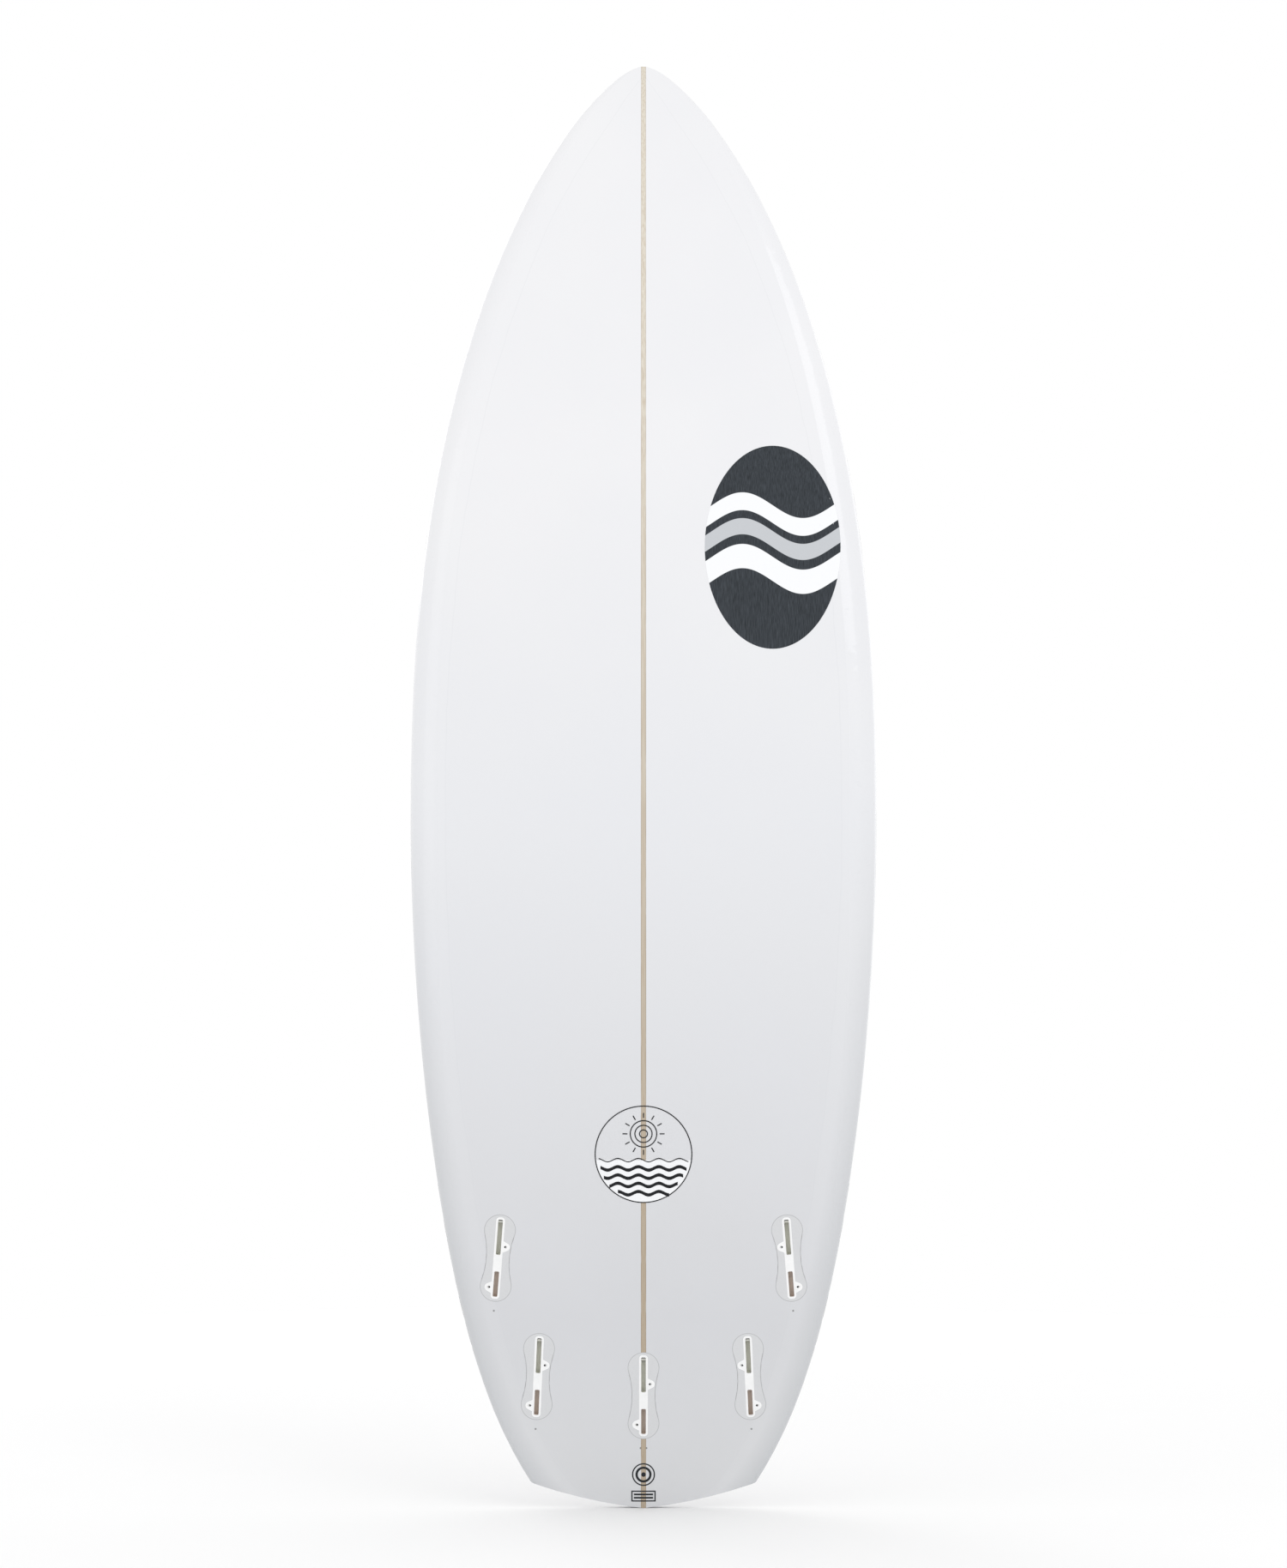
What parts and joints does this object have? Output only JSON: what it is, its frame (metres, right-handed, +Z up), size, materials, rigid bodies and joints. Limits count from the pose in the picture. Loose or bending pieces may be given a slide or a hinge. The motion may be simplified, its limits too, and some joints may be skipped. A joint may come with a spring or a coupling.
{
  "type": "surfboard",
  "caption": "Short, wide surfboard with a pointed nose and a bat-shaped tail, laminated foam over a wood stringer, with twin-slot fin boxes and a leash plug.",
  "frame": {"origin": "the tail's tip, midway across the board's width and depth", "axes": "+Z up the board to its nose, +X to the right of a rider standing on the deck, +Y out of the bottom; the deck faces -Y"},
  "size_m": [0.5778, 0.112, 1.8034],
  "materials": {
    "glass_laminate": "sanded, polished polyester and glass cloth",
    "foam": "shaped polyurethane foam",
    "stringer_wood": "basswood ply under glass",
    "glue": "resin glue line",
    "carbon": "carbon tows in clear resin",
    "emblem_ink": "printed under gloss resin",
    "print_ink": "printed line art",
    "print_white": "opaque white print",
    "box_plastic": "moulded glass-filled nylon",
    "filled_resin": "white filled resin, sanded flush",
    "roller_plastic": "satin",
    "spring_rubber": "moulded rubber block",
    "screw_steel": "stainless",
    "bar_steel": "polished stainless",
    "cup_plastic": "moulded, glossy"
  },
  "bodies": {
    "board": {"blank_left_half": "foam", "blank_right_half": "foam", "stringer": "stringer_wood", "glue_line_left": "glue", "glue_line_right": "glue", "deck_laminate": "glass_laminate", "bottom_laminate": "glass_laminate", "carbon_strip_left": "carbon", "carbon_strip_right": "carbon", "deck_emblem": "emblem_ink", "bottom_emblem": "emblem_ink", "round_print_lines": "print_ink", "round_print_patch": "print_white", "ring_mark": "print_ink", "bar_mark": "print_ink", "leash_cup": "cup_plastic", "leash_bar": "bar_steel", "leash_cup_resin": "filled_resin", "front_left_box": "box_plastic", "front_left_box_resin": "filled_resin", "front_left_roller_spring": "spring_rubber", "front_right_box": "box_plastic", "front_right_box_resin": "filled_resin", "front_right_roller_spring": "spring_rubber", "rear_left_box": "box_plastic", "rear_left_box_resin": "filled_resin", "rear_left_roller_spring": "spring_rubber", "rear_right_box": "box_plastic", "rear_right_box_resin": "filled_resin", "rear_right_roller_spring": "spring_rubber", "centre_box": "box_plastic", "centre_box_resin": "filled_resin", "centre_roller_spring": "spring_rubber"},
    "front_left_roller": {"front_left_roller": "roller_plastic"},
    "front_left_inner_screw": {"front_left_inner_screw": "screw_steel"},
    "front_left_outer_screw": {"front_left_outer_screw": "screw_steel"},
    "front_right_roller": {"front_right_roller": "roller_plastic"},
    "front_right_inner_screw": {"front_right_inner_screw": "screw_steel"},
    "front_right_outer_screw": {"front_right_outer_screw": "screw_steel"},
    "rear_left_roller": {"rear_left_roller": "roller_plastic"},
    "rear_left_inner_screw": {"rear_left_inner_screw": "screw_steel"},
    "rear_left_outer_screw": {"rear_left_outer_screw": "screw_steel"},
    "rear_right_roller": {"rear_right_roller": "roller_plastic"},
    "rear_right_inner_screw": {"rear_right_inner_screw": "screw_steel"},
    "rear_right_outer_screw": {"rear_right_outer_screw": "screw_steel"},
    "centre_roller": {"centre_roller": "roller_plastic"},
    "centre_inner_screw": {"centre_inner_screw": "screw_steel"},
    "centre_outer_screw": {"centre_outer_screw": "screw_steel"}
  },
  "joints": [
    {"name": "front_left_roller_slide", "type": "slide", "parent": "board", "child": "front_left_roller", "axis": [0.0764, 0.0628, 0.9951], "range_m": [0, 0.0012], "stiffness_N_per_m": 10000, "deforming": ["front_left_roller_spring"]},
    {"name": "front_left_inner_screw_wind_in", "type": "slide", "parent": "board", "child": "front_left_inner_screw", "axis": [-0.7191, -0.6879, 0.0986], "range_m": [0, 0.002]},
    {"name": "front_left_outer_screw_wind_in", "type": "slide", "parent": "board", "child": "front_left_outer_screw", "axis": [0.6907, -0.7231, -0.0074], "range_m": [0, 0.002]},
    {"name": "front_right_roller_slide", "type": "slide", "parent": "board", "child": "front_right_roller", "axis": [-0.0764, 0.0628, 0.9951], "range_m": [0, 0.0012], "stiffness_N_per_m": 10000, "deforming": ["front_right_roller_spring"]},
    {"name": "front_right_inner_screw_wind_in", "type": "slide", "parent": "board", "child": "front_right_inner_screw", "axis": [0.7191, -0.6879, 0.0986], "range_m": [0, 0.002]},
    {"name": "front_right_outer_screw_wind_in", "type": "slide", "parent": "board", "child": "front_right_outer_screw", "axis": [-0.6907, -0.7231, -0.0074], "range_m": [0, 0.002]},
    {"name": "rear_left_roller_slide", "type": "slide", "parent": "board", "child": "rear_left_roller", "axis": [0.0449, 0.0797, 0.9958], "range_m": [0, 0.0012], "stiffness_N_per_m": 10000, "deforming": ["rear_left_roller_spring"]},
    {"name": "rear_left_inner_screw_wind_in", "type": "slide", "parent": "board", "child": "rear_left_inner_screw", "axis": [-0.716, -0.6926, 0.0877], "range_m": [0, 0.002]},
    {"name": "rear_left_outer_screw_wind_in", "type": "slide", "parent": "board", "child": "rear_left_outer_screw", "axis": [0.6966, -0.7169, 0.026], "range_m": [0, 0.002]},
    {"name": "rear_right_roller_slide", "type": "slide", "parent": "board", "child": "rear_right_roller", "axis": [-0.0449, 0.0797, 0.9958], "range_m": [0, 0.0012], "stiffness_N_per_m": 10000, "deforming": ["rear_right_roller_spring"]},
    {"name": "rear_right_inner_screw_wind_in", "type": "slide", "parent": "board", "child": "rear_right_inner_screw", "axis": [0.716, -0.6926, 0.0877], "range_m": [0, 0.002]},
    {"name": "rear_right_outer_screw_wind_in", "type": "slide", "parent": "board", "child": "rear_right_outer_screw", "axis": [-0.6966, -0.7169, 0.026], "range_m": [0, 0.002]},
    {"name": "centre_roller_slide", "type": "slide", "parent": "board", "child": "centre_roller", "axis": [0, 0.0848, 0.9964], "range_m": [0, 0.0012], "stiffness_N_per_m": 10000, "deforming": ["centre_roller_spring"]},
    {"name": "centre_inner_screw_wind_in", "type": "slide", "parent": "board", "child": "centre_inner_screw", "axis": [0.7071, -0.7046, 0.06], "range_m": [0, 0.002]},
    {"name": "centre_outer_screw_wind_in", "type": "slide", "parent": "board", "child": "centre_outer_screw", "axis": [-0.7071, -0.7046, 0.06], "range_m": [0, 0.002]}
  ]
}
